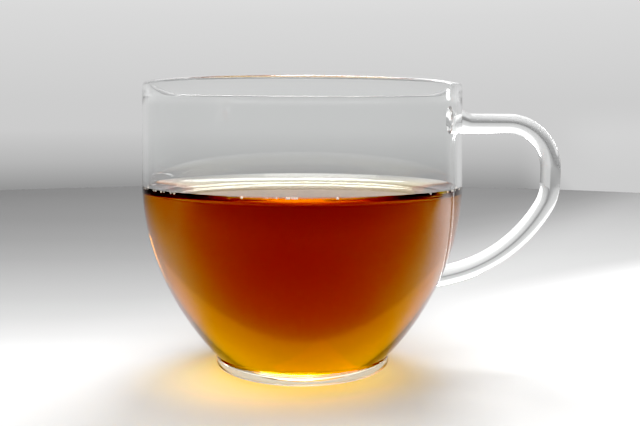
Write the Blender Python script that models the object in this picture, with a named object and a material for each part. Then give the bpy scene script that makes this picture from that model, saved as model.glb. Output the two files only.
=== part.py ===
"""Clear glass cup with a looped handle, filled with tea. Metres, +Z up, foot on Z = 0."""
import math

import bmesh
import bpy
from mathutils import Vector

# Cup body: the axis is Z, the handle points along +X
WIDEST_RADIUS = 0.0425
WIDEST_HEIGHT = 0.0495
BOWL_DEPTH = 0.0627
BOWL_POWER = 0.73
RIM_RADIUS = 0.0419
RIM_HEIGHT = 0.0754
RIM_BEAD_RADIUS = 0.00085
WALL = 0.0013

# Foot: a low solid disc with rounded edges below a narrow neck
FOOT_RADIUS = 0.0237
FOOT_HEIGHT = 0.0027
FOOT_EDGE = 0.0007
NECK_RADIUS = 0.0234

# Inside of the bowl
FLOOR_HEIGHT = 0.0034
FLOOR_RADIUS = 0.0206
FLOOR_CORNER_TOP = 0.0056

# Tea: a flat surface that climbs the glass in a small meniscus
GAP = 0.0003
TEA_LEVEL = 0.0464
MENISCUS_RISE = 0.0026
MENISCUS_REACH = 0.0023

# Handle: a round rod in the XZ plane, laid along a straight and three arcs
ROD_RADIUS = 0.00275
ROD_TOP_HEIGHT = 0.0651
ROD_TOP_END = 0.0569
TOP_BEND_RADIUS = 0.0126
GRIP_LENGTH = 0.0041
SIDE_BEND_RADIUS = 0.0120
SIDE_BEND_ANGLE = math.radians(31)
LOWER_BEND_RADIUS = 0.0404
LOWER_BEND_ANGLE = math.radians(49)
WELD_DEPTH = 0.0065

# Flared weld pads: half height, lift off the rod's line, length along the rod
UPPER_PAD_RADIUS = 0.00385
UPPER_PAD_LIFT = 0.00105
UPPER_PAD_LENGTH = 0.0044
LOWER_PAD_RADIUS = 0.0031
LOWER_PAD_LENGTH = 0.0040

# Facets
BODY_SEGMENTS = 80
TEA_SEGMENTS = 60
ROD_SIDES = 16
BOWL_STEPS = 15
SIDE_STEPS = 5
CORNER_STEPS = 5
BEAD_STEPS = 8
MENISCUS_STEPS = 7


def clear_scene():
    """Remove every object so that only the cup and the tea are left."""
    for obj in list(bpy.data.objects):
        bpy.data.objects.remove(obj, do_unlink=True)


def glass_material():
    """Clear colourless glass."""
    mat = bpy.data.materials.new("clear_glass")
    mat.use_nodes = True
    shader = mat.node_tree.nodes["Principled BSDF"]
    shader.inputs["Base Color"].default_value = (0.95, 0.97, 0.97, 1.0)
    shader.inputs["Roughness"].default_value = 0.02
    shader.inputs["IOR"].default_value = 1.47
    shader.inputs["Transmission Weight"].default_value = 1.0
    return mat


def tea_material():
    """Amber brewed tea."""
    mat = bpy.data.materials.new("amber_tea")
    mat.use_nodes = True
    shader = mat.node_tree.nodes["Principled BSDF"]
    shader.inputs["Base Color"].default_value = (0.52, 0.16, 0.02, 1.0)
    shader.inputs["Roughness"].default_value = 0.03
    shader.inputs["IOR"].default_value = 1.333
    return mat


def body_radius(height):
    """Outer radius of the bowl and the straight side at a height."""
    if height <= WIDEST_HEIGHT:
        drop = (WIDEST_HEIGHT - height) / BOWL_DEPTH
        return WIDEST_RADIUS * (1.0 - drop ** 2) ** BOWL_POWER
    rise = (height - WIDEST_HEIGHT) / (RIM_HEIGHT - WIDEST_HEIGHT)
    return WIDEST_RADIUS + (RIM_RADIUS - WIDEST_RADIUS) * rise


def inward_point(height, depth):
    """Point (radius, height) that lies a depth inside the outer surface."""
    step = 0.0002
    slope = (body_radius(height + step) - body_radius(height - step)) / (2.0 * step)
    length = math.hypot(1.0, slope)
    return body_radius(height) - depth / length, height + depth * slope / length


def spread(low, high, count):
    """Evenly spaced values from low to high, both ends included."""
    return [low + (high - low) * i / count for i in range(count + 1)]


def arc(centre, radius, start, end, count):
    """Points on a circular arc, angles in degrees."""
    turn = [math.radians(a) for a in spread(start, end, count)]
    return [(centre[0] + radius * math.cos(a), centre[1] + radius * math.sin(a)) for a in turn]


def rounded(start, corner, end, count):
    """Points of a soft corner from start to end that leans towards the corner point."""
    points = []
    for t in spread(0.0, 1.0, count):
        weights = ((1.0 - t) ** 2, 2.0 * t * (1.0 - t), t ** 2)
        points.append(tuple(sum(w * p[k] for w, p in zip(weights, (start, corner, end)))
                            for k in range(2)))
    return points


def bead_arc():
    """Rounded bead on the rim, from the outside over the top to the inside."""
    centre = (RIM_RADIUS - RIM_BEAD_RADIUS, RIM_HEIGHT - RIM_BEAD_RADIUS)
    return arc(centre, RIM_BEAD_RADIUS, 0.0, 180.0, BEAD_STEPS)


def inner_side(depth, floor, top):
    """Inner outline from the floor's middle up to a height, at a depth from the outside."""
    corner_top = inward_point(FLOOR_CORNER_TOP, depth)
    corner = (inward_point(floor, depth)[0], floor)
    outline = [(0.0, floor)] + rounded((FLOOR_RADIUS, floor), corner, corner_top, CORNER_STEPS)
    outline += [inward_point(h, depth)
                for h in spread(FLOOR_CORNER_TOP, WIDEST_HEIGHT, BOWL_STEPS)[1:]
                if inward_point(h, depth)[1] < top]
    return outline


def outer_outline():
    """Outside of the solid body from the middle of the foot to the middle of the mouth."""
    foot_low = arc((FOOT_RADIUS - FOOT_EDGE, FOOT_EDGE), FOOT_EDGE, -90.0, 0.0, 3)
    shoulder = (FOOT_RADIUS, FOOT_HEIGHT - FOOT_EDGE)
    neck = rounded(shoulder, (FOOT_RADIUS, FOOT_HEIGHT), (NECK_RADIUS, FOOT_HEIGHT), 2)
    bowl = [(body_radius(h), h) for h in spread(FOOT_HEIGHT + 0.0003, WIDEST_HEIGHT, BOWL_STEPS)]
    side = [(body_radius(h), h)
            for h in spread(WIDEST_HEIGHT, RIM_HEIGHT - 2.4 * RIM_BEAD_RADIUS, SIDE_STEPS)[1:]]
    bead = bead_arc()
    return [(0.0, 0.0)] + foot_low + neck + bowl + side + bead + [(0.0, bead[-1][1])]


def cavity_outline():
    """Hollow of the cup from its floor out through the open mouth."""
    side = [inward_point(h, WALL)
            for h in spread(WIDEST_HEIGHT, RIM_HEIGHT - 2.4 * RIM_BEAD_RADIUS, SIDE_STEPS)]
    mouth = RIM_RADIUS - 2.0 * RIM_BEAD_RADIUS
    above = RIM_HEIGHT + 0.004
    outline = inner_side(WALL, FLOOR_HEIGHT, WIDEST_HEIGHT)
    outline = [p for p in outline if p[1] < side[0][1] - 0.0005] + side
    return outline + [(mouth, RIM_HEIGHT - RIM_BEAD_RADIUS), (mouth, above), (0.0, above)]


def tea_outline():
    """Tea from the middle of the floor to the middle of its surface."""
    depth = WALL + GAP
    contact = TEA_LEVEL + MENISCUS_RISE
    edge = inward_point(contact, depth)[0]
    outline = inner_side(depth, FLOOR_HEIGHT + GAP, contact - 0.0012) + [(edge, contact)]
    for t in spread(0.0, 1.0, MENISCUS_STEPS)[1:]:
        away = 4.0 * MENISCUS_REACH * t ** 1.6
        rise = MENISCUS_RISE * math.exp(-away / MENISCUS_REACH) * (1.0 - t ** 4)
        outline.append((edge - away, TEA_LEVEL + rise))
    return outline + [(0.0, TEA_LEVEL)]


def turned_object(name, outline, segments, material):
    """Solid of revolution about Z from an outline that starts and ends on the axis."""
    mesh = bpy.data.meshes.new(name)
    bm = bmesh.new()
    verts = [bm.verts.new((radius, 0.0, height)) for radius, height in outline]
    edges = [bm.edges.new(pair) for pair in zip(verts, verts[1:])]
    bmesh.ops.spin(bm, geom=verts + edges, cent=(0.0, 0.0, 0.0), axis=(0.0, 0.0, 1.0),
                   angle=2.0 * math.pi, steps=segments, use_merge=True)
    bmesh.ops.remove_doubles(bm, verts=bm.verts, dist=1e-6)
    bmesh.ops.recalc_face_normals(bm, faces=bm.faces)
    for face in bm.faces:
        face.smooth = True
    bm.to_mesh(mesh)
    bm.free()
    mesh.materials.append(material)
    obj = bpy.data.objects.new(name, mesh)
    bpy.context.scene.collection.objects.link(obj)
    return obj


def handle_line():
    """Centre line of the rod as (point, direction) pairs, from the upper to the lower weld."""
    start = Vector((RIM_RADIUS - WELD_DEPTH, 0.0, ROD_TOP_HEIGHT))
    line = []
    for x in (start.x, 0.0415, 0.0424, 0.0435, 0.0446, 0.0457, 0.0467, 0.0480, 0.0520):
        line.append((Vector((x, 0.0, ROD_TOP_HEIGHT)), Vector((1.0, 0.0, 0.0))))
    point = Vector((ROD_TOP_END, 0.0, ROD_TOP_HEIGHT))
    angle = 0.0
    bends = ((TOP_BEND_RADIUS, math.radians(90), 10), (0.0, GRIP_LENGTH, 0),
             (SIDE_BEND_RADIUS, SIDE_BEND_ANGLE, 5), (LOWER_BEND_RADIUS, LOWER_BEND_ANGLE, 12))
    line.append((point.copy(), Vector((1.0, 0.0, 0.0))))
    for radius, turn, steps in bends:
        if steps == 0:
            point = point + turn * Vector((math.cos(angle), 0.0, -math.sin(angle)))
            continue
        centre = point + radius * Vector((-math.sin(angle), 0.0, -math.cos(angle)))
        for a in spread(angle, angle + turn, steps)[(0 if angle else 1):]:
            line.append((centre + radius * Vector((math.sin(a), 0.0, math.cos(a))),
                         Vector((math.cos(a), 0.0, -math.sin(a)))))
        angle += turn
        point = line[-1][0]
    line.append((point + WELD_DEPTH * line[-1][1], line[-1][1]))
    return line


def pad_share(distance, length):
    """How much of a weld pad's flare is left at a distance from the wall, from 1 to 0."""
    return max(0.0, min(1.0, 1.0 - distance / length))


def handle_object(material):
    """Round rod with a flared pad at each end, closed at both ends."""
    line = handle_line()
    low_wall = body_radius(line[-1][0].z)
    mesh = bpy.data.meshes.new("handle_rod")
    bm = bmesh.new()
    rings = []
    for index, (point, direction) in enumerate(line):
        normal = Vector((-direction.z, 0.0, direction.x))
        radius = ROD_RADIUS
        lift = 0.0
        if index < 12:
            share = pad_share(point.x - RIM_RADIUS, UPPER_PAD_LENGTH)
            radius += (UPPER_PAD_RADIUS - ROD_RADIUS) * share
            lift = UPPER_PAD_LIFT * share
        else:
            share = pad_share(point.x - low_wall, LOWER_PAD_LENGTH) if point.z < 0.03 else 0.0
            radius += (LOWER_PAD_RADIUS - ROD_RADIUS) * share
        ring = []
        for side in range(ROD_SIDES):
            a = 2.0 * math.pi * side / ROD_SIDES
            offset = normal * (radius * math.cos(a) + lift)
            offset += Vector((0.0, radius * math.sin(a), 0.0))
            ring.append(bm.verts.new(point + offset))
        rings.append(ring)
    for ring, following in zip(rings, rings[1:]):
        for side in range(ROD_SIDES):
            nxt = (side + 1) % ROD_SIDES
            bm.faces.new((ring[side], ring[nxt], following[nxt], following[side]))
    bm.faces.new(rings[0])
    bm.faces.new(rings[-1])
    bmesh.ops.recalc_face_normals(bm, faces=bm.faces)
    for face in bm.faces:
        face.smooth = True
    bm.to_mesh(mesh)
    bm.free()
    mesh.materials.append(material)
    obj = bpy.data.objects.new("handle_rod", mesh)
    bpy.context.scene.collection.objects.link(obj)
    return obj


def add_boolean(target, cutter, operation):
    """Join or cut with a helper solid, which itself is hidden."""
    modifier = target.modifiers.new(operation.lower(), "BOOLEAN")
    modifier.operation = operation
    modifier.solver = "EXACT"
    modifier.object = cutter
    cutter.hide_render = True
    cutter.display_type = "WIRE"


def build():
    """Make the glass cup with its handle, and the tea in it."""
    clear_scene()
    glass = glass_material()
    cup = turned_object("glass_cup", outer_outline(), BODY_SEGMENTS, glass)
    add_boolean(cup, handle_object(glass), "UNION")
    hollow = turned_object("cup_hollow", cavity_outline(), BODY_SEGMENTS, glass)
    add_boolean(cup, hollow, "DIFFERENCE")
    turned_object("tea", tea_outline(), TEA_SEGMENTS, tea_material())


build()
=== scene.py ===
"""Glass cup of tea: smooth glass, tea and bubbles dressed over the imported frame, with their studio."""

import logging
import math
from dataclasses import dataclass, field
from enum import Enum
from typing import Callable, Dict, List, Optional, Sequence, Tuple, Union

import bpy
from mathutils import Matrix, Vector


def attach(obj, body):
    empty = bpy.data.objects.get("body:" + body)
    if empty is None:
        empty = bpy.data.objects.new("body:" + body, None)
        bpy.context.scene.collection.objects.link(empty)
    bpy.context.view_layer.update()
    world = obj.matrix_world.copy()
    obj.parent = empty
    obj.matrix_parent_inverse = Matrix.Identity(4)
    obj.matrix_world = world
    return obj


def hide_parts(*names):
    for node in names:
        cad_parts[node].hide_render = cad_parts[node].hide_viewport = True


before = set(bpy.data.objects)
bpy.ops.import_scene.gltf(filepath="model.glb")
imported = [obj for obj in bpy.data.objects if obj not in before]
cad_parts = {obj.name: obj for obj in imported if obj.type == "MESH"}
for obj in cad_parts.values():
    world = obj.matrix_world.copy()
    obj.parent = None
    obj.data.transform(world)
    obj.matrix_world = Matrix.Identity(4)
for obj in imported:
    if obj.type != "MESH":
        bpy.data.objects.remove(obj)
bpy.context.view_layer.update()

LOG = logging.getLogger("glass_cup_of_tea")
BODY = "root"
Point = Tuple[float, float]
Colour = Tuple[float, float, float]
Value = Union[float, "Wire"]


# Shader expressions


class Wire:
    """A shader socket that takes part in plain Python expressions."""

    def __init__(self, tree: bpy.types.NodeTree, socket: bpy.types.NodeSocket) -> None:
        """Keep the socket and the tree it belongs to."""
        self.tree = tree
        self.socket = socket

    def _math(self, operation: str, first: Value, second: Value) -> "Wire":
        """Add one Math node.

        Args:
            operation: Name of the Math operation.
            first: Upper input, a number or a wire.
            second: Lower input, a number or a wire.

        Returns:
            The node's output as a wire.
        """
        node = self.tree.nodes.new("ShaderNodeMath")
        node.operation = operation
        for index, value in enumerate((first, second)):
            if isinstance(value, Wire):
                self.tree.links.new(value.socket, node.inputs[index])
            else:
                node.inputs[index].default_value = value
        return Wire(self.tree, node.outputs[0])

    def __add__(self, other: Value) -> "Wire":
        """Sum of the wire and a value."""
        return self._math("ADD", self, other)

    def __radd__(self, other: Value) -> "Wire":
        """Sum of a value and the wire."""
        return self._math("ADD", other, self)

    def __sub__(self, other: Value) -> "Wire":
        """The wire less a value."""
        return self._math("SUBTRACT", self, other)

    def __rsub__(self, other: Value) -> "Wire":
        """A value less the wire."""
        return self._math("SUBTRACT", other, self)

    def __mul__(self, other: Value) -> "Wire":
        """Product of the wire and a value."""
        return self._math("MULTIPLY", self, other)

    def __rmul__(self, other: Value) -> "Wire":
        """Product of a value and the wire."""
        return self._math("MULTIPLY", other, self)


class Graph:
    """Node tree of one material or of the world."""

    def __init__(self, tree: bpy.types.NodeTree) -> None:
        """Start from an empty tree."""
        self.tree = tree
        tree.nodes.clear()

    def node(self, kind: str, settings: Optional[Dict[str, object]] = None,
             values: Optional[Dict[str, object]] = None,
             output: Union[int, str] = 0) -> Optional[Wire]:
        """Add a node, set it up, then fill or link its sockets.

        Args:
            kind: Node type, such as "ShaderNodeTexNoise".
            settings: Properties of the node; "stops" lists a ramp's (position, colour) pairs.
            values: Socket name to a number, colour, vector or wire.
            output: Output socket that the returned wire stands for.

        Returns:
            The chosen output as a wire, or None for an end node.
        """
        node = self.tree.nodes.new(kind)
        for name, value in (settings or {}).items():
            if name == "stops":
                self._fill_ramp(node.color_ramp, value)
            else:
                setattr(node, name, value)
        for name, value in (values or {}).items():
            if isinstance(value, Wire):
                self.tree.links.new(value.socket, node.inputs[name])
            else:
                node.inputs[name].default_value = value
        return Wire(self.tree, node.outputs[output]) if node.outputs else None

    @staticmethod
    def _fill_ramp(ramp: bpy.types.ColorRamp, stops: Sequence[Tuple[float, Colour]]) -> None:
        """Give a colour ramp its stops.

        Args:
            ramp: The ramp to fill.
            stops: Pairs of position and linear colour, in rising order.
        """
        while len(ramp.elements) > 1:
            ramp.elements.remove(ramp.elements[-1])
        ramp.elements[0].position = stops[0][0]
        ramp.elements[0].color = (*stops[0][1], 1.0)
        for position, colour in stops[1:]:
            ramp.elements.new(position).color = (*colour, 1.0)


def grey(level: float) -> Colour:
    """A neutral linear colour."""
    return (level, level, level)


def grey_stops(tones: Sequence[Point]) -> List[Tuple[float, Colour]]:
    """Stops of a grey ramp from pairs of position and level."""
    return [(position, grey(level)) for position, level in tones]


# Finishes, with painted light on the table and the bubbles


@dataclass(frozen=True)
class ClearGlass:
    """Heat-resistant glass: colourless, with the faint waviness of a blown wall."""

    name: str = "clear_blown_glass"
    slot: str = "clear_glass"
    tint: Colour = (0.985, 0.992, 0.99)
    mirror: float = 0.7
    ior: float = 1.47
    wave_scale: float = 38.0
    wave_height: float = 0.00006
    wave_strength: float = 0.35
    wave_stretch: float = 0.45
    smudge_scale: float = 140.0
    smudge_roughness: float = 0.012

    def make(self) -> bpy.types.Material:
        """Build the glass material.

        Returns:
            The new material.
        """
        mat = bpy.data.materials.new(self.name)
        mat.use_nodes = True
        graph = Graph(mat.node_tree)
        place = graph.node("ShaderNodeTexCoord", output="Object")
        stretched = graph.node("ShaderNodeMapping", values={
            "Vector": place, "Scale": (1.0, 1.0, self.wave_stretch)})
        waves = graph.node("ShaderNodeTexNoise",
                           values={"Vector": stretched, "Scale": self.wave_scale, "Detail": 1.0})
        wavy = graph.node("ShaderNodeBump", values={"Height": waves, "Distance": self.wave_height,
                                                    "Strength": self.wave_strength})
        smudge = graph.node("ShaderNodeTexNoise",
                            values={"Vector": place, "Scale": self.smudge_scale, "Detail": 3.0})
        roughness = smudge * self.smudge_roughness
        shader = graph.node("ShaderNodeBsdfPrincipled", values={
            "Base Color": (*self.tint, 1.0), "Roughness": roughness, "IOR": self.ior,
            "Specular Tint": (self.mirror, self.mirror, self.mirror, 1.0),
            "Transmission Weight": 1.0, "Normal": wavy})
        graph.node("ShaderNodeOutputMaterial", values={"Surface": shader})
        return mat


@dataclass(frozen=True)
class BrewedTea:
    """Clear amber tea whose colour comes from how far the light has to travel through it."""

    name: str = "brewed_tea"
    slot: str = "amber_tea"
    side_mark: str = "against_glass"
    ior: float = 1.333
    absorb_colour: Colour = (0.902, 0.742, 0.0)
    density: float = 130.0
    swirl_scale: float = 30.0
    swirl_height: float = 0.00002
    swirl_strength: float = 0.25

    def make(self) -> bpy.types.Material:
        """Build the tea material.

        Returns:
            The new material.
        """
        mat = bpy.data.materials.new(self.name)
        mat.use_nodes = True
        graph = Graph(mat.node_tree)
        place = graph.node("ShaderNodeTexCoord", output="Object")
        swirl = graph.node("ShaderNodeTexNoise",
                           values={"Vector": place, "Scale": self.swirl_scale, "Detail": 1.0})
        still = graph.node("ShaderNodeBump", values={"Height": swirl, "Distance": self.swirl_height,
                                                     "Strength": self.swirl_strength})
        surface = graph.node("ShaderNodeBsdfPrincipled", values={
            "Base Color": (1.0, 1.0, 1.0, 1.0), "Roughness": 0.0, "IOR": self.ior,
            "Transmission Weight": 1.0, "Normal": still})
        side = graph.node("ShaderNodeBsdfPrincipled", values={
            "Base Color": (1.0, 1.0, 1.0, 1.0), "Roughness": 0.0, "IOR": 1.0,
            "Transmission Weight": 1.0})
        mark = graph.node("ShaderNodeAttribute", {"attribute_name": self.side_mark}, output="Fac")
        shader = graph.node("ShaderNodeMixShader", values={0: mark, 1: surface, 2: side})
        depth = graph.node("ShaderNodeVolumeAbsorption",
                           values={"Color": (*self.absorb_colour, 1.0), "Density": self.density})
        graph.node("ShaderNodeOutputMaterial", values={"Surface": shader, "Volume": depth})
        return mat


@dataclass(frozen=True)
class BubbleFilm:
    """Thin pale skin of a small bubble, with a painted light of its own so that it reads as a bright dot.
    """

    name: str = "bubble_film"
    slot: str = "amber_tea"
    dull: Colour = (0.95, 0.80, 0.66)
    bright: Colour = (1.0, 0.97, 0.93)
    patch_scale: float = 900.0
    # Strength of the painted light the bubble gives off.
    painted_glow_strength: float = 0.45

    def make(self) -> bpy.types.Material:
        """Build the bubble material.

        Returns:
            The new material.
        """
        mat = bpy.data.materials.new(self.name)
        mat.use_nodes = True
        graph = Graph(mat.node_tree)
        place = graph.node("ShaderNodeTexCoord", output="Object")
        patches = graph.node("ShaderNodeTexNoise", values={
            "Vector": place, "Scale": self.patch_scale})
        colour = graph.node("ShaderNodeValToRGB",
                            {"stops": [(0.35, self.dull), (0.65, self.bright)]},
                            {"Fac": patches})
        # Painted light: the bubble gives off its own light in its patchy colour.
        shader = graph.node("ShaderNodeBsdfPrincipled", values={
            "Base Color": colour, "Roughness": 0.08, "IOR": 1.33, "Coat Weight": 0.6,
            "Emission Color": colour, "Emission Strength": self.painted_glow_strength})
        graph.node("ShaderNodeOutputMaterial", values={"Surface": shader})
        return mat


@dataclass(frozen=True)
class PaleTable:
    """Matt white table with painted light and shade: its grey is painted darker away from the camera and
    paler on the right, with a painted pool of light behind the cup, a painted amber caustic round the foot
    and a painted sunlit patch on the right.
    """

    name: str = "pale_table"
    ahead: Tuple[float, float, float] = (0.087, 0.996, 0.0)
    bright_side: Tuple[float, float, float] = (0.944, -0.685, 0.0)
    # Painted shade: the table's grey falls from pale near the cup to dark far behind it, standing in for
    # light that fades with distance.
    tones: Tuple[Point, ...] = (
        (0.0, 0.64), (0.024, 0.49), (0.048, 0.40), (0.078, 0.33), (0.114, 0.275), (0.162, 0.215),
        (0.226, 0.17), (0.317, 0.135), (0.5, 0.105), (0.62, 0.10))
    # Painted light: towards the right the table keeps the paler end of the ramp, as if lit from that side.
    lit_edges: Point = (-0.12, 0.02)
    lit_share: float = 0.4
    # Painted pool of light: a paler oval on the table just behind the cup.
    painted_pool_grey: float = 0.38
    painted_pool_centre: Point = (0.014, 0.165)
    painted_pool_size: Point = (0.052, 0.15)
    # Painted caustic: the table gives off amber light round the foot, standing in for light that has
    # passed through the tea.
    amber: Colour = (0.84, 0.58, 0.13)
    painted_caustic_centre: Point = (-0.005, -0.012)
    painted_caustic_size: Point = (0.046, 0.035)
    # Painted sunlight: the table gives off white light in a long oval to the right.
    painted_sunlight: float = 1.5
    painted_sunlight_centre: Point = (0.30, 0.10)
    painted_sunlight_size: Point = (0.31, 0.10)
    painted_sunlight_turn: float = math.radians(21.0)

    @staticmethod
    def patch(graph: Graph, place: Wire, centre: Point, size: Point, turn: float = 0.0) -> Wire:
        """Soft oval patch on the table.

        Args:
            graph: Node tree that gets the nodes.
            place: Object coordinates.
            centre: Middle of the oval.
            size: Half axes of the oval.
            turn: Turn of its first axis from X, in radians.

        Returns:
            A share from 1 in the middle to 0 at the edge.
        """
        local = graph.node("ShaderNodeMapping", {"vector_type": "TEXTURE"},
                           {"Vector": place, "Location": (*centre, 0.0),
                            "Rotation": (0.0, 0.0, turn), "Scale": (*size, 1.0)})
        away = graph.node("ShaderNodeVectorMath", {"operation": "LENGTH"}, {0: local}, "Value")
        return graph.node("ShaderNodeMapRange", {"interpolation_type": "SMOOTHSTEP"},
                          {0: away, 1: 0.2, 2: 1.0, 3: 1.0, 4: 0.0})

    def make(self) -> bpy.types.Material:
        """Build the table material.

        Returns:
            The new material.
        """
        mat = bpy.data.materials.new(self.name)
        mat.use_nodes = True
        graph = Graph(mat.node_tree)
        place = graph.node("ShaderNodeTexCoord", output="Object")
        along = graph.node("ShaderNodeVectorMath", {"operation": "DOT_PRODUCT"},
                           {0: place, 1: self.ahead}, "Value")
        # Painted light: the right side of the table is kept paler.
        across = graph.node("ShaderNodeVectorMath", {"operation": "DOT_PRODUCT"},
                            {0: place, 1: self.bright_side}, "Value")
        lit_side = graph.node("ShaderNodeMapRange", {"interpolation_type": "SMOOTHSTEP"},
                              {0: across, 1: self.lit_edges[0], 2: self.lit_edges[1],
                               3: 1.0, 4: self.lit_share})
        # Painted shade: darker the further the table runs away from the camera.
        tone = graph.node("ShaderNodeValToRGB", {"stops": grey_stops(self.tones)},
                          {"Fac": along * lit_side})
        # Painted pool of light behind the cup, paler than the ramp around it.
        behind = self.patch(graph, place, self.painted_pool_centre, self.painted_pool_size)
        colour = graph.node("ShaderNodeMix", {"data_type": "RGBA"},
                            {0: behind, 6: tone, 7: (*grey(self.painted_pool_grey), 1.0)}, 2)
        # Painted caustic: amber light given off by the table round the foot.
        painted_caustic = self.patch(graph, place, self.painted_caustic_centre, self.painted_caustic_size)
        painted_caustic_light = graph.node("ShaderNodeVectorMath", {"operation": "SCALE"},
                          {0: self.amber, "Scale": painted_caustic})
        # Painted sunlit patch to the right of the cup.
        painted_sunlight = self.patch(graph, place, self.painted_sunlight_centre, self.painted_sunlight_size, self.painted_sunlight_turn)
        bright = graph.node("ShaderNodeVectorMath", {"operation": "SCALE"},
                            {0: grey(self.painted_sunlight), "Scale": painted_sunlight})
        light = graph.node("ShaderNodeVectorMath", {"operation": "ADD"}, {0: painted_caustic_light, 1: bright})
        # The emission carries the painted caustic and the painted sunlit patch.
        shader = graph.node("ShaderNodeBsdfPrincipled", values={
            "Base Color": colour, "Roughness": 0.75, "Specular IOR Level": 0.2,
            "Emission Color": light, "Emission Strength": 1.0})
        graph.node("ShaderNodeOutputMaterial", values={"Surface": shader})
        return mat


# Mesh modelling


class Bench:
    """Edit-mode work on one piece at a time, all through operators."""

    @staticmethod
    def deselect() -> None:
        """Leave edit mode and clear the selection."""
        if bpy.context.object and bpy.context.object.mode != "OBJECT":
            bpy.ops.object.mode_set(mode="OBJECT")
        bpy.ops.object.select_all(action="DESELECT")

    @staticmethod
    def activate(obj: bpy.types.Object) -> None:
        """Make a piece the only selected and the active one.

        Args:
            obj: The piece to work on next.
        """
        Bench.deselect()
        obj.select_set(True)
        bpy.context.view_layer.objects.active = obj

    @staticmethod
    def disc(name: str, segments: int, radius: float, place: Vector,
             rotation: Tuple[float, float, float] = (0.0, 0.0, 0.0)) -> bpy.types.Object:
        """Add a filled circle and open it in edit mode with everything selected.

        Args:
            name: Name of the new piece.
            segments: Number of vertices round the circle.
            radius: Radius in metres.
            place: Centre of the circle.
            rotation: Turn of the circle, applied to its mesh.

        Returns:
            The new object, in edit mode.
        """
        Bench.deselect()
        bpy.ops.mesh.primitive_circle_add(vertices=segments, radius=radius, fill_type="NGON",
                                          location=place, rotation=rotation)
        obj = bpy.context.object
        obj.name = name
        obj.data.name = name
        bpy.ops.object.transform_apply(location=True, rotation=True, scale=True)
        bpy.ops.object.mode_set(mode="EDIT")
        bpy.ops.mesh.select_all(action="SELECT")
        return obj

    @staticmethod
    def close(obj: bpy.types.Object, smooth_angle: float) -> bpy.types.Object:
        """Merge doubles, turn the faces outwards and shade the piece.

        Args:
            obj: Piece in edit mode.
            smooth_angle: Edges bent by more than this, in degrees, stay sharp.

        Returns:
            The same object, in object mode.
        """
        bpy.ops.mesh.select_all(action="SELECT")
        bpy.ops.mesh.remove_doubles(threshold=1e-6)
        bpy.ops.mesh.normals_make_consistent(inside=False)
        bpy.ops.object.mode_set(mode="OBJECT")
        bpy.ops.object.shade_smooth_by_angle(angle=math.radians(smooth_angle))
        return obj

    @staticmethod
    def turn(name: str, outline: Sequence[Point], segments: int,
             smooth_angle: float = 60.0) -> bpy.types.Object:
        """Build a round piece upwards and inwards, ring by ring, from a disc.

        Args:
            name: Name of the new piece.
            outline: (radius, height) of each ring, from the first disc to the last.
            segments: Number of vertices in each ring.
            smooth_angle: Edges bent by more than this, in degrees, stay sharp.

        Returns:
            The closed piece, in object mode.
        """
        radius, height = outline[0]
        obj = Bench.disc(name, segments, radius, Vector((0.0, 0.0, height)))
        for new_radius, new_height in outline[1:]:
            bpy.ops.mesh.extrude_region_move(
                TRANSFORM_OT_translate={"value": (0.0, 0.0, new_height - height)})
            scale = new_radius / radius
            bpy.ops.transform.resize(value=(scale, scale, 1.0),
                                     center_override=(0.0, 0.0, new_height))
            radius, height = new_radius, new_height
        return Bench.close(obj, smooth_angle)

    @staticmethod
    def dress(obj: bpy.types.Object, materials: Sequence[bpy.types.Material],
              takes_second: Callable[[Vector], bool]) -> None:
        """Give a piece its materials, the second one only where a test on the face says so.

        Args:
            obj: Piece in object mode.
            materials: The main material and the second one.
            takes_second: Test on the centre of a face.
        """
        obj.data.materials.clear()
        for material in materials:
            obj.data.materials.append(material)
        Bench.activate(obj)
        bpy.ops.object.mode_set(mode="EDIT")
        bpy.ops.mesh.select_mode(type="FACE")
        bpy.ops.mesh.select_all(action="DESELECT")
        bpy.ops.object.mode_set(mode="OBJECT")
        for polygon in obj.data.polygons:
            polygon.select = takes_second(polygon.center)
        bpy.ops.object.mode_set(mode="EDIT")
        obj.active_material_index = 1
        bpy.ops.object.material_slot_assign()
        bpy.ops.object.mode_set(mode="OBJECT")

    @staticmethod
    def mark(obj: bpy.types.Object, name: str, test: Callable[[Vector], bool]) -> None:
        """Write 1 on the faces that pass a test and 0 on the others.

        Args:
            obj: Piece in object mode.
            name: Name of the face attribute.
            test: Test on the centre of a face.
        """
        layer = obj.data.attributes.new(name, "FLOAT", "FACE")
        for polygon in obj.data.polygons:
            layer.data[polygon.index].value = float(test(polygon.center))

    @staticmethod
    def boolean(target: bpy.types.Object, tool: bpy.types.Object, operation: str) -> None:
        """Apply a Boolean and remove its tool.

        Args:
            target: Piece that is changed.
            tool: Helper piece that joins or cuts.
            operation: UNION or DIFFERENCE.
        """
        Bench.activate(target)
        modifier = target.modifiers.new(operation.lower(), "BOOLEAN")
        modifier.operation = operation
        modifier.object = tool
        bpy.ops.object.modifier_apply(modifier=modifier.name)
        mesh = tool.data
        bpy.data.objects.remove(tool, do_unlink=True)
        bpy.data.meshes.remove(mesh)


def spread(low: float, high: float, count: int) -> List[float]:
    """Evenly spaced values from low to high, both ends included."""
    return [low + (high - low) * i / count for i in range(count + 1)]


def arc(centre: Point, radius: float, start: float, end: float, count: int) -> List[Point]:
    """Points on a circular arc, with angles in degrees."""
    turns = [math.radians(angle) for angle in spread(start, end, count)]
    return [(centre[0] + radius * math.cos(a), centre[1] + radius * math.sin(a)) for a in turns]


def soft_corner(start: Point, corner: Point, end: Point, count: int) -> List[Point]:
    """Points of a curve from start to end that leans towards the corner."""
    return [tuple((1.0 - t) ** 2 * a + 2.0 * t * (1.0 - t) * b + t ** 2 * c
                  for a, b, c in zip(start, corner, end)) for t in spread(0.0, 1.0, count)]


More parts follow.
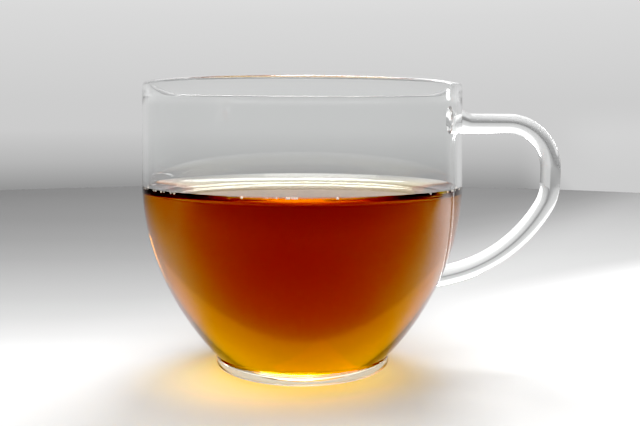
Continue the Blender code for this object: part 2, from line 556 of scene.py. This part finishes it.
@dataclass
class CupForm:
    """Outline of the cup's round body, shared by the glass and what it holds."""

    widest_radius: float = 0.0425
    widest_height: float = 0.0495
    bowl_depth: float = 0.0627
    bowl_power: float = 0.73
    rim_radius: float = 0.0419
    rim_height: float = 0.0754
    bead_radius: float = 0.00085
    wall: float = 0.0013
    foot_radius: float = 0.0237
    foot_height: float = 0.0027
    foot_edge: float = 0.0007
    neck_radius: float = 0.0234
    floor_height: float = 0.0034
    floor_radius: float = 0.0206
    corner_top: float = 0.0056
    contact: float = 0.0490
    bead_reach: float = 2.4

    def radius_at(self, height: float) -> float:
        """Outer radius of the bowl or the straight side.

        Args:
            height: Height above the table.

        Returns:
            The radius in metres.
        """
        if height <= self.widest_height:
            drop = (self.widest_height - height) / self.bowl_depth
            return self.widest_radius * (1.0 - drop ** 2) ** self.bowl_power
        rise = (height - self.widest_height) / (self.rim_height - self.widest_height)
        return self.widest_radius + (self.rim_radius - self.widest_radius) * rise

    def inward(self, height: float, depth: float) -> Point:
        """Point that lies a depth inside the outer surface.

        Args:
            height: Height of the outer point.
            depth: Distance from it, square to the surface.

        Returns:
            Radius and height of the inner point.
        """
        step = 0.0002
        slope = (self.radius_at(height + step) - self.radius_at(height - step)) / (2.0 * step)
        length = math.hypot(1.0, slope)
        return self.radius_at(height) - depth / length, height + depth * slope / length

    def side_top(self) -> float:
        """Height at which the straight side ends under the rim's bead."""
        return self.rim_height - self.bead_reach * self.bead_radius

    def outside(self) -> List[Point]:
        """Outer outline from the edge of the foot up to where the bead starts.

        Returns:
            Points of the foot, the neck, the bowl and the side.
        """
        low = arc((self.foot_radius - self.foot_edge, self.foot_edge), self.foot_edge, -90.0, 0.0, 8)
        neck = soft_corner((self.foot_radius, self.foot_height - self.foot_edge),
                           (self.foot_radius, self.foot_height),
                           (self.neck_radius, self.foot_height), 5)
        bowl = [(self.radius_at(h), h)
                for h in spread(self.foot_height + 0.0003, self.widest_height, 64)]
        side = [(self.radius_at(h), h) for h in
                spread(self.widest_height, self.side_top(), 12)[1:]]
        return low + neck + bowl + side

    def bead(self) -> List[Point]:
        """Rounded rim from the outside over the top to the inside."""
        centre = (self.rim_radius - self.bead_radius, self.rim_height - self.bead_radius)
        return arc(centre, self.bead_radius, 0.0, 180.0, 20)

    def inside(self, depth: float, floor: float, top: float) -> List[Point]:
        """Inner outline, from the floor up.

        Args:
            depth: Distance inside the outer surface.
            floor: Height of the flat floor.
            top: Height at which the outline stops.

        Returns:
            Points from the edge of the floor to the top.
        """
        corner_top = self.inward(self.corner_top, depth)
        corner = (self.inward(floor, depth)[0], floor)
        points = soft_corner((self.floor_radius, floor), corner, corner_top, 10)
        heights = (spread(self.corner_top, self.contact, 64)[1:]
                   + spread(self.contact, self.rim_height, 14)[1:])
        rising = [self.inward(h, depth) for h in heights]
        return points + [p for p in rising if p[1] < top - 0.0002]


class WeldEnd(Enum):
    """The two places where the handle is fused to the wall."""

    UPPER = "upper"
    LOWER = "lower"


@dataclass
class GlassCup:
    """Glass body with its rounded rim, low foot and fused rod handle."""

    form: CupForm
    finish: ClearGlass
    wet_finish: ClearGlass
    segments: int = 192
    rod_sides: int = 40
    rod_radius: float = 0.00275
    rod_top: float = 0.0651
    rod_top_end: float = 0.0569
    top_bend: float = 0.0126
    grip: float = 0.0041
    side_bend: float = 0.0120
    side_angle: float = math.radians(31)
    lower_bend: float = 0.0404
    lower_angle: float = math.radians(49)
    weld_depth: float = 0.0065
    upper_pad: float = 0.00385
    upper_lift: float = 0.00105
    upper_length: float = 0.0044
    lower_pad: float = 0.0031
    lower_length: float = 0.0040
    weld_inset: float = 0.0012
    smooth_angle: float = math.radians(32.0)

    def shell_outline(self) -> List[Point]:
        """Outline of the glass wall, from under the foot to the inner floor.

        Returns:
            Points from near the axis below the foot to near the axis on the floor.
        """
        form = self.form
        hollow = form.inside(form.wall, form.floor_height, form.side_top())
        return ([(form.floor_radius * 0.5, 0.0)] + form.outside() + form.bead()
                + list(reversed(hollow)) + [(form.floor_radius * 0.5, form.floor_height)])

    def flare(self, end: WeldEnd, away: float) -> float:
        """Share of a weld pad's flare that is left at a distance from the wall.

        Args:
            end: Which weld the pad belongs to.
            away: Distance from the wall.

        Returns:
            A share from 1 at the wall to 0.
        """
        length = self.upper_length if end is WeldEnd.UPPER else self.lower_length
        share = max(0.0, min(1.0, 1.0 - away / length))
        return share * share * (3.0 - 2.0 * share) * 0.5 + share * 0.5

    def rod_stations(self) -> List[Tuple[Vector, float, float, float]]:
        """Centre line of the handle.

        Returns:
            Point, heading below the horizontal in radians, radius and lift of each ring.
        """
        stations: List[Tuple[Vector, float, float, float]] = []

        def add(point: Vector, heading: float, end: WeldEnd) -> None:
            """Append one ring with its weld flare.

            Args:
                point: Place on the centre line.
                heading: Angle below the horizontal in radians.
                end: The weld that the ring is nearer to.
            """
            if end is WeldEnd.UPPER:
                share = self.flare(end, point.x - self.form.rim_radius)
                radius = self.rod_radius + (self.upper_pad - self.rod_radius) * share
                stations.append((point, heading, radius, self.upper_lift * share))
            else:
                share = self.flare(end, point.x - self.form.radius_at(point.z))
                radius = self.rod_radius + (self.lower_pad - self.rod_radius) * share
                stations.append((point, heading, radius, 0.0))

        start = self.form.rim_radius - self.weld_inset
        for x in spread(start, self.form.rim_radius + self.upper_length, 14):
            add(Vector((x, 0.0, self.rod_top)), 0.0, WeldEnd.UPPER)
        point = Vector((self.rod_top_end, 0.0, self.rod_top))
        add(point, 0.0, WeldEnd.UPPER)
        heading = 0.0
        for radius, turn, steps, straight in (
                (self.top_bend, math.radians(90), 24, self.grip),
                (self.side_bend, self.side_angle, 12, 0.0),
                (self.lower_bend, self.lower_angle, 30, self.weld_depth)):
            centre = point + radius * Vector((-math.sin(heading), 0.0, -math.cos(heading)))
            for angle in spread(heading, heading + turn, steps)[1:]:
                add(centre + radius * Vector((math.sin(angle), 0.0, math.cos(angle))), angle,
                    WeldEnd.LOWER)
            heading += turn
            ahead = Vector((math.cos(heading), 0.0, -math.sin(heading)))
            point = stations[-1][0] + straight * ahead
        add(point, heading, WeldEnd.LOWER)
        return stations

    def build_handle(self) -> bpy.types.Object:
        """Sweep the rod from the upper weld to the lower one.

        Returns:
            The closed rod, in object mode.
        """
        stations = self.rod_stations()
        point, heading, radius, lift = stations[0]
        centre = point + Vector((0.0, 0.0, lift))
        obj = Bench.disc("handle_rod", self.rod_sides, radius, centre, (0.0, math.pi / 2.0, 0.0))
        for new_point, new_heading, new_radius, new_lift in stations[1:]:
            normal = Vector((math.sin(new_heading), 0.0, math.cos(new_heading)))
            new_centre = new_point + normal * new_lift
            bpy.ops.mesh.extrude_region_move(
                TRANSFORM_OT_translate={"value": tuple(new_centre - centre)})
            if new_heading != heading:
                bpy.ops.transform.rotate(value=-(new_heading - heading), orient_axis="Y",
                                         center_override=tuple(new_centre))
            scale = new_radius / radius
            bpy.ops.transform.resize(value=(scale, scale, scale), center_override=tuple(new_centre))
            centre, heading, radius = new_centre, new_heading, new_radius
        return Bench.close(obj, 60.0)

    def build_core(self) -> bpy.types.Object:
        """Solid that fills the cup up to the middle of its wall.

        Returns:
            The core, which trims the handle's ends.
        """
        form = self.form
        half = form.wall * 0.5
        outline = form.inside(half, form.floor_height * 0.5, form.rim_height)
        return Bench.turn("wall_core", outline, self.segments)

    def is_wet(self, centre: Vector) -> bool:
        """Whether a face of the wall touches the tea.

        Args:
            centre: Middle of the face.

        Returns:
            True for the inner faces below the edge of the tea.
        """
        radius = math.hypot(centre.x, centre.y)
        inside = radius < self.form.radius_at(centre.z) - 0.6 * self.form.wall
        return inside and self.form.floor_height * 0.7 < centre.z < self.form.contact

    def build(self) -> bpy.types.Object:
        """Make the whole glass piece and dress it.

        Returns:
            The finished piece.
        """
        glass = Bench.turn("glass_cup_body", self.shell_outline(), self.segments)
        rod = self.build_handle()
        Bench.boolean(rod, self.build_core(), "DIFFERENCE")
        Bench.boolean(glass, rod, "UNION")
        Bench.activate(glass)
        bpy.ops.object.shade_smooth_by_angle(angle=self.smooth_angle)
        Bench.dress(glass, [self.finish.make(), self.wet_finish.make()], self.is_wet)
        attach(glass, BODY)
        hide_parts("glass_cup")
        return glass


@dataclass
class TeaFill:
    """Tea up to its level, with the curved edge where it climbs the glass."""

    form: CupForm
    finish: BrewedTea
    segments: int = 192
    reach: float = 0.00015
    level: float = 0.0464
    capillary: float = 0.0027
    fade: float = 0.87
    rings: int = 32

    def surface(self) -> List[Point]:
        """Meniscus from the glass in to the flat surface, held up by surface tension.

        Returns:
            Points from the edge that touches the glass to near the axis.
        """
        edge = self.form.inward(self.form.contact, self.form.wall)[0]
        points = [(edge, self.form.contact)]
        height = self.form.contact - self.level
        away = 0.0
        for _ in range(self.rings):
            lower = height * self.fade
            middle = 0.5 * (height + lower)
            away += ((height - lower) * (2.0 * self.capillary ** 2 - middle ** 2)
                     / (middle * math.sqrt(4.0 * self.capillary ** 2 - middle ** 2)))
            height = lower
            points.append((edge - away, self.level + height))
        return points + [(edge * 0.6, self.level), (edge * 0.3, self.level)]

    def is_side(self, centre: Vector) -> bool:
        """Whether a face of the tea lies against the glass.

        Args:
            centre: Middle of the face.

        Returns:
            True for the side and the bottom, False for the free surface.
        """
        if centre.z < self.level - 0.0005:
            return True
        radius = math.hypot(centre.x, centre.y)
        return radius > self.form.inward(centre.z, self.form.wall)[0]

    def build(self) -> bpy.types.Object:
        """Make the tea and dress it.

        Returns:
            The finished piece.
        """
        depth = self.form.wall - self.reach
        side = self.form.inside(depth, self.form.floor_height - self.reach, self.form.contact)
        start = [(self.form.floor_radius * 0.5, self.form.floor_height - self.reach)]
        tea = Bench.turn("tea_fill", start + side + self.surface(), self.segments)
        Bench.mark(tea, self.finish.side_mark, self.is_side)
        tea.data.materials.append(self.finish.make())
        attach(tea, BODY)
        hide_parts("tea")
        return tea


@dataclass
class EdgeBubbles:
    """Small bubbles that cling to the glass at the edge of the tea, at turns from the front in degrees."""

    form: CupForm
    finish: BubbleFilm
    front: float = math.radians(-5.0)
    left_run: Tuple[float, ...] = (-87.0, -76.0, -72.0, -69.0, -66.0, -60.0, -58.0, -54.0, -52.0,
                                   -48.0, -46.0)
    middle_run: Tuple[float, ...] = (-19.0, -11.0, -8.0, -4.9, -4.2, -3.3, -2.5, -1.8, 10.6)
    right_run: Tuple[float, ...] = (46.0, 57.0, 60.5, 61.5, 64.0, 69.0, 70.0, 74.0, 86.0)
    radius: float = 0.00021
    sink: float = 0.00030
    sizes: Tuple[float, ...] = (0.75, 0.92, 1.09, 1.26)

    def build(self) -> bpy.types.Object:
        """Model one bubble, copy it along the edge and join the copies.

        Returns:
            The finished piece.
        """
        Bench.deselect()
        bpy.ops.mesh.primitive_uv_sphere_add(segments=12, ring_count=8, radius=self.radius)
        first = bpy.context.object
        first.name = "edge_bubbles"
        first.data.name = "edge_bubbles"
        bpy.ops.object.shade_smooth()
        first.data.materials.append(self.finish.make())
        height = self.form.contact - self.sink
        reach = self.form.inward(height, self.form.wall)[0] - 0.9 * self.radius
        turns = self.left_run + self.middle_run + self.right_run
        copies = [first]
        for _ in turns[1:]:
            copy = first.copy()
            copy.data = first.data.copy()
            bpy.context.scene.collection.objects.link(copy)
            copies.append(copy)
        Bench.deselect()
        for index, (bubble, turn) in enumerate(zip(copies, turns)):
            angle = math.radians(turn) + self.front
            bubble.location = (reach * math.sin(angle), -reach * math.cos(angle), height)
            size = self.sizes[index % len(self.sizes)]
            bubble.scale = (size, size, size)
            bubble.select_set(True)
        bpy.context.view_layer.objects.active = first
        bpy.ops.object.transform_apply(location=True, rotation=True, scale=True)
        bpy.ops.object.join()
        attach(first, BODY)
        return first


@dataclass(frozen=True)
class SoftBox:
    """A flat rectangular lamp that points at the cup."""

    name: str
    place: Tuple[float, float, float]
    width: float
    height: float
    power: float
    aim_height: float = 0.03

    def hang(self) -> bpy.types.Object:
        """Hang the lamp.

        Returns:
            The lamp's object.
        """
        light = bpy.data.lights.new(self.name, "AREA")
        light.shape = "RECTANGLE"
        light.size = self.width
        light.size_y = self.height
        light.energy = self.power
        lamp = bpy.data.objects.new(self.name, light)
        bpy.context.scene.collection.objects.link(lamp)
        lamp.location = self.place
        aim = Vector((0.0, 0.0, self.aim_height)) - Vector(self.place)
        lamp.rotation_euler = aim.to_track_quat("-Z", "Y").to_euler()
        return lamp


@dataclass
class Studio:
    """Pale table, soft light and the camera."""

    distance: float = 0.214
    height: float = 0.06526
    focal: float = 792.2
    pitch: float = math.radians(6.51)
    roll: float = math.radians(0.2)
    axis_x: float = 303.09
    handle_turn: float = math.radians(5.0)
    table_radius: float = 0.62
    lamps: Tuple[SoftBox, ...] = (
        SoftBox("top_soft_box", (-0.2, -0.1, 1.3), 1.0, 1.0, 14.0),
        SoftBox("back_soft_box", (0.20, 0.80, 0.95), 0.5, 0.5, 12.0),
        SoftBox("tall_window", (0.871, 0.491, 0.45), 0.10, 0.5, 2.6))
    ahead: Tuple[float, float, float] = (0.087, 0.996, 0.0)
    right: Tuple[float, float, float] = (0.996, -0.087, 0.0)
    wall_low: float = 0.1
    wall_tones: Tuple[Point, ...] = (
        (0.0, 0.12), (0.0136, 0.135), (0.048, 0.235), (0.0825, 0.30), (0.116, 0.305),
        (0.151, 0.32), (0.208, 0.345), (0.25, 0.38), (0.27, 0.50), (0.4, 0.65), (0.6, 0.75),
        (0.8, 0.6), (1.0, 0.4))
    room_share: Tuple[Point, ...] = ((0.0, 0.0), (0.45, 0.09), (0.72, 0.5), (0.9, 1.0))
    room_grey: float = 0.085
    lift: float = 0.09
    lift_edges: Point = (0.26, 0.36)
    lift_heights: Point = (-0.02, 0.03)
    world_strength: float = 2.0
    bounces: int = 40
    toe: Tuple[Point, ...] = ((0.0, 0.0), (0.05, 0.0), (0.08, 0.014), (0.12, 0.072), (0.16, 0.135),
                              (0.22, 0.21), (0.35, 0.35), (1.0, 1.0))
    table: PaleTable = field(default_factory=PaleTable)

    def build_table(self) -> bpy.types.Object:
        """Lay the pale table top under the cup.

        Returns:
            The table top.
        """
        Bench.deselect()
        bpy.ops.mesh.primitive_circle_add(vertices=96, radius=self.table_radius, fill_type="TRIFAN",
                                          location=(0.0, 0.0, -0.00005))
        top = bpy.context.object
        top.name = "table_top"
        bpy.ops.object.transform_apply(location=True, rotation=True, scale=True)
        top.data.materials.append(self.table.make())
        return top

    def build_world(self) -> None:
        """Surround the table with a soft grey wall that is darker near the table."""
        world = bpy.data.worlds.new("soft_surround")
        bpy.context.scene.world = world
        world.use_nodes = True
        graph = Graph(world.node_tree)
        place = graph.node("ShaderNodeTexCoord", output="Generated")
        height = graph.node("ShaderNodeSeparateXYZ", values={0: place}, output="Z")
        right = graph.node("ShaderNodeVectorMath", {"operation": "DOT_PRODUCT"},
                           {0: place, 1: self.right}, "Value")
        lift = graph.node("ShaderNodeMapRange", {"interpolation_type": "SMOOTHSTEP"},
                          {0: right, 1: self.lift_edges[0], 2: self.lift_edges[1], 3: 0.0,
                           4: self.lift})
        near_table = graph.node("ShaderNodeMapRange", {"interpolation_type": "SMOOTHSTEP"},
                                {0: height, 1: self.lift_heights[0], 2: self.lift_heights[1],
                                 3: 1.0, 4: 0.0})
        up = (height + lift * near_table + self.wall_low) * (1.0 / (1.0 + self.wall_low))
        wall = graph.node("ShaderNodeValToRGB", {"stops": grey_stops(self.wall_tones)}, {"Fac": up})
        ahead = graph.node("ShaderNodeVectorMath", {"operation": "DOT_PRODUCT"},
                           {0: place, 1: self.ahead}, "Value")
        share = graph.node("ShaderNodeValToRGB", {"stops": grey_stops(self.room_share)},
                           {"Fac": ahead * 0.5 + 0.5})
        shade = graph.node("ShaderNodeMix", {"data_type": "RGBA"},
                           {0: share, 6: (*grey(self.room_grey), 1.0), 7: wall}, 2)
        backdrop = graph.node("ShaderNodeBackground",
                              values={"Color": shade, "Strength": self.world_strength})
        graph.node("ShaderNodeOutputWorld", values={"Surface": backdrop})

    def build_camera(self) -> bpy.types.Object:
        """Set up the camera at the photograph's viewing angle.

        Returns:
            The camera object.
        """
        data = bpy.data.cameras.new("photo_camera")
        data.sensor_fit = "HORIZONTAL"
        data.sensor_width = 36.0
        data.lens = self.focal / 640.0 * 36.0
        data.clip_start = 0.01
        camera = bpy.data.objects.new("photo_camera", data)
        bpy.context.scene.collection.objects.link(camera)
        yaw = math.atan((320.0 - self.axis_x) / self.focal)
        spin = -self.handle_turn
        camera.location = (self.distance * math.sin(spin), -self.distance * math.cos(spin),
                           self.height)
        camera.rotation_mode = "XYZ"
        camera.rotation_euler = (math.pi / 2.0 - self.pitch, -self.roll, spin - yaw)
        bpy.context.scene.camera = camera
        return camera

    def set_tones(self) -> None:
        """Darken the deepest tones with a mild curve."""
        view = bpy.context.scene.view_settings
        view.view_transform = "Standard"
        view.use_curve_mapping = True
        tone = view.curve_mapping.curves[3].points
        tone[0].location, tone[1].location = self.toe[0], self.toe[-1]
        for place in self.toe[1:-1]:
            tone.new(*place)
        view.curve_mapping.update()

    def build(self) -> None:
        """Make the whole studio."""
        self.build_table()
        for lamp in self.lamps:
            lamp.hang()
        self.build_world()
        self.build_camera()
        self.set_tones()
        paths = bpy.context.scene.cycles
        paths.max_bounces = self.bounces
        paths.transmission_bounces = self.bounces
        paths.glossy_bounces = self.bounces


def main() -> None:
    """Build every piece in order and report it."""
    logging.basicConfig(level=logging.INFO, format="%(name)s: %(message)s")
    form = CupForm()
    wet_glass = ClearGlass(name="glass_against_tea", ior=1.103)
    for part in (GlassCup(form, ClearGlass(), wet_glass), TeaFill(form, BrewedTea()),
                 EdgeBubbles(form, BubbleFilm())):
        piece = part.build()
        LOG.info("%s: %d faces", piece.name, len(piece.data.polygons))
    Studio().build()
    LOG.info("studio ready")


if __name__ == "__main__":
    main()
